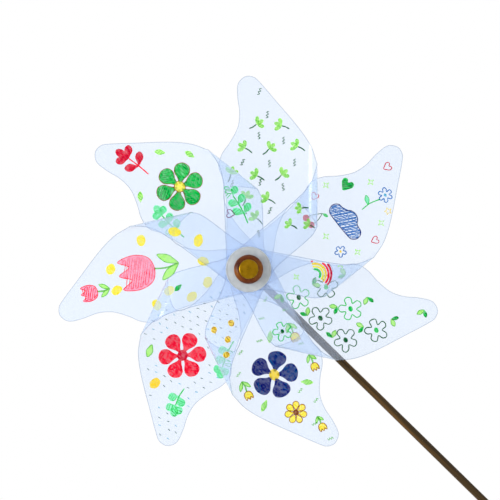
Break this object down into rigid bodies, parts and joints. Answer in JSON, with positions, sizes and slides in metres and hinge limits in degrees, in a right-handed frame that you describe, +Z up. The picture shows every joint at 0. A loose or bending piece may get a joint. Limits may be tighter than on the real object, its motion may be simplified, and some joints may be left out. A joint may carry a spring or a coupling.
{
  "type": "pinwheel",
  "caption": "Clear film pinwheel: separate curled leaves with painted doodles turn on a brass nail, between wooden beads and frosted discs, on a round wooden stick.",
  "frame": {"origin": "centre of the stick's sawn lower end", "axes": "+Z up the stick, rotor axis along Y through the hub, the rotor's front and the nail head face -Y, +X to the right seen from the front"},
  "size_m": [0.2357, 0.0503, 0.4707],
  "materials": {
    "stick_wood": "plain sanded",
    "bead_wood": "stained satin",
    "brass": "polished, a little dull",
    "frosted_plastic": "frosted, translucent",
    "clear_film": "clear glossy film with marker doodles"
  },
  "bodies": {
    "handle": {"stick": "stick_wood", "axle_nail": "brass"},
    "rotor": {"blade_1": "clear_film", "blade_2": "clear_film", "blade_3": "clear_film", "blade_4": "clear_film", "blade_5": "clear_film", "blade_6": "clear_film", "blade_7": "clear_film", "spacer_tube": "frosted_plastic", "front_disc": "frosted_plastic", "rear_disc": "frosted_plastic"},
    "front_bead": {"front_bead": "bead_wood"},
    "rear_bead": {"rear_bead": "bead_wood"}
  },
  "joints": [
    {"name": "rotor_spin", "type": "hinge", "parent": "handle", "child": "rotor", "pos_m": [0, 0, 0.35], "axis": [0, 1, 0], "continuous": true},
    {"name": "front_bead_spin", "type": "hinge", "parent": "handle", "child": "front_bead", "pos_m": [0, 0, 0.35], "axis": [0, 1, 0], "continuous": true},
    {"name": "rear_bead_spin", "type": "hinge", "parent": "handle", "child": "rear_bead", "pos_m": [0, 0, 0.35], "axis": [0, 1, 0], "continuous": true}
  ]
}
